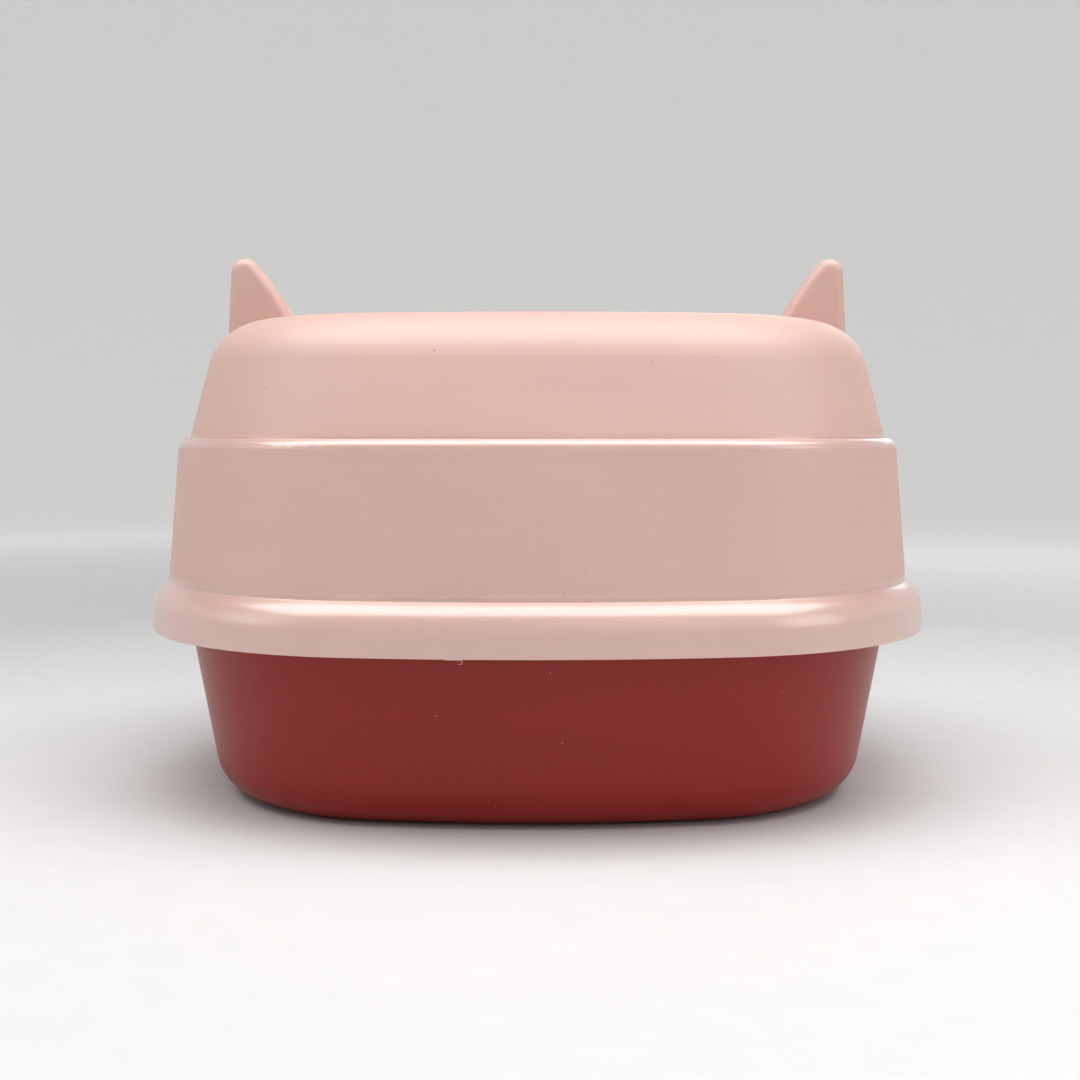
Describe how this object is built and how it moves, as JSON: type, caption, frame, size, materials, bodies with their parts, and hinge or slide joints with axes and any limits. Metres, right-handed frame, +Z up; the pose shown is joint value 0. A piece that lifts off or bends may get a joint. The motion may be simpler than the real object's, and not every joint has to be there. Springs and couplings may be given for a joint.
{
  "type": "cat litter box",
  "caption": "Semi-enclosed cat litter box: a drafted pan with a flanged top, and a lift-off hood with a stepped wall, rounded rim, swept open entry, pointed ears and hinged end latches.",
  "frame": {"origin": "on the floor, under the middle of the box", "axes": "+X along the length, +Y towards the open entry, +Z up; the closed back faces -Y"},
  "size_m": [0.5104, 0.403, 0.3409],
  "materials": {
    "pan_plastic": "semi-gloss dark red moulded polypropylene",
    "hood_plastic": "semi-gloss pale pink moulded polypropylene"
  },
  "bodies": {
    "litter_pan": {"litter_pan": "pan_plastic"},
    "hood": {"hood": "hood_plastic"},
    "right_latch": {"right_latch": "hood_plastic"},
    "left_latch": {"left_latch": "hood_plastic"}
  },
  "joints": [
    {"name": "hood_lift", "type": "slide", "parent": "litter_pan", "child": "hood", "axis": [0, 0, 1], "range_m": [0, 0.25]},
    {"name": "right_latch_hinge", "type": "hinge", "parent": "hood", "child": "right_latch", "pos_m": [0.2429, 0, 0.12696], "axis": [0, -1, 0], "range_deg": [-20, 50]},
    {"name": "left_latch_hinge", "type": "hinge", "parent": "hood", "child": "left_latch", "pos_m": [-0.2429, 0, 0.12696], "axis": [0, 1, 0], "range_deg": [-20, 50]}
  ]
}
